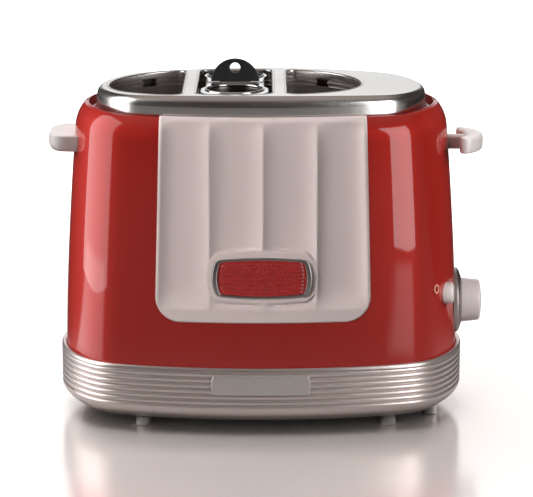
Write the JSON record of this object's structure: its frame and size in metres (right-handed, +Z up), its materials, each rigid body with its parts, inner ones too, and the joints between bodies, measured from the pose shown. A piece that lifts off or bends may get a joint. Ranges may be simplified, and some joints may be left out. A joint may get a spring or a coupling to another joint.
{
  "type": "hot dog maker",
  "caption": "Oval upright hot dog toaster: domed red body, steel top with bun wells and a lift-out sausage basket, side lever, timer dial, crumb tray.",
  "frame": {"origin": "on the table, under the middle of the whole object's bounding box", "axes": "+X toward the lever end, -Y toward the front panel, +Z up"},
  "size_m": [0.28, 0.1643, 0.2288],
  "materials": {
    "red_enamel": "glossy red heat-proof moulding",
    "pale_panel": "warm off-white, lightly glossy",
    "silver_base": "satin silver painted plastic",
    "silver_plate": "smooth satin silver paint",
    "brushed_cover": "bright brushed stainless steel",
    "dark_chrome": "dark bright plating",
    "bright_chrome": "bright plating",
    "red_plastic": "glossy red plastic",
    "white_knob": "glossy warm white plastic",
    "pale_mark": "printed white",
    "black_tab": "black heat-proof plastic",
    "well_steel": "thin coated steel sheet",
    "plain_steel": "galvanised steel sheet",
    "bright_steel": "turned bright steel",
    "spring_steel": "oiled spring wire",
    "mica": "pale mica sheet",
    "heater_alloy": "oxidised resistance strip",
    "black_plastic": "black moulded plastic",
    "grey_plastic": "grey moulded plastic",
    "board_laminate": "pale brown circuit laminate",
    "copper_coil": "lacquered copper winding",
    "iron_core": "soft iron",
    "foot_rubber": "pale grey rubber"
  },
  "bodies": {
    "housing": {"badge_bezel": "dark_chrome", "badge_insert": "red_plastic", "base_screws": "bright_steel", "base_skirt": "silver_base", "basket_liner": "well_steel", "board_parts": "black_plastic", "bottom_plate": "black_plastic", "control_board": "board_laminate", "cord_gland": "black_plastic", "feet": "foot_rubber", "front_heat_shield": "plain_steel", "front_panel": "pale_panel", "guide_rods": "bright_steel", "handle_screws": "bright_steel", "left_bun_liner": "well_steel", "left_heater_card": "mica", "left_heating_strip": "heater_alloy", "magnet_coil": "copper_coil", "magnet_core": "iron_core", "mechanism_plate": "plain_steel", "name_plate": "silver_plate", "outer_shell": "red_enamel", "rear_heat_shield": "plain_steel", "return_spring": "spring_steel", "right_bun_liner": "well_steel", "right_heater_card": "mica", "right_heating_strip": "heater_alloy", "side_handle": "white_knob", "stop_mark": "pale_mark", "stop_switch": "black_plastic", "timer_switch": "grey_plastic", "top_cover": "brushed_cover"},
    "carriage": {"carriage_bracket": "plain_steel", "lift_bar": "plain_steel", "left_bun_rack": "well_steel", "right_bun_rack": "well_steel", "basket_rest": "well_steel", "lever_arm": "plain_steel", "lever_knob": "white_knob", "armature": "iron_core"},
    "basket": {"sausage_basket": "bright_chrome", "basket_tab": "black_tab", "tab_rivets": "bright_steel"},
    "timer": {"timer_shaft": "grey_plastic", "knob_ring": "bright_chrome", "timer_knob": "white_knob"},
    "stop": {"stop_button": "white_knob"},
    "tray": {"crumb_tray": "plain_steel", "tray_front": "silver_base"}
  },
  "joints": [
    {"name": "lever_slide", "type": "slide", "parent": "housing", "child": "carriage", "axis": [0, 0, -1], "range_m": [0, 0.055], "stiffness_N_per_m": 150, "springref_m": -0.05, "deforming": ["return_spring"]},
    {"name": "basket_lift", "type": "slide", "parent": "carriage", "child": "basket", "axis": [0, 0, 1], "range_m": [0, 0.12]},
    {"name": "timer_turn", "type": "hinge", "parent": "housing", "child": "timer", "pos_m": [-0.00375, 0, 0.0696], "axis": [1, 0, 0], "range_deg": [0, 270]},
    {"name": "stop_press", "type": "slide", "parent": "housing", "child": "stop", "axis": [-1, 0, 0], "range_m": [0, 0.0025], "stiffness_N_per_m": 300},
    {"name": "tray_slide", "type": "slide", "parent": "housing", "child": "tray", "axis": [-1, 0, 0], "range_m": [0, 0.17]}
  ]
}
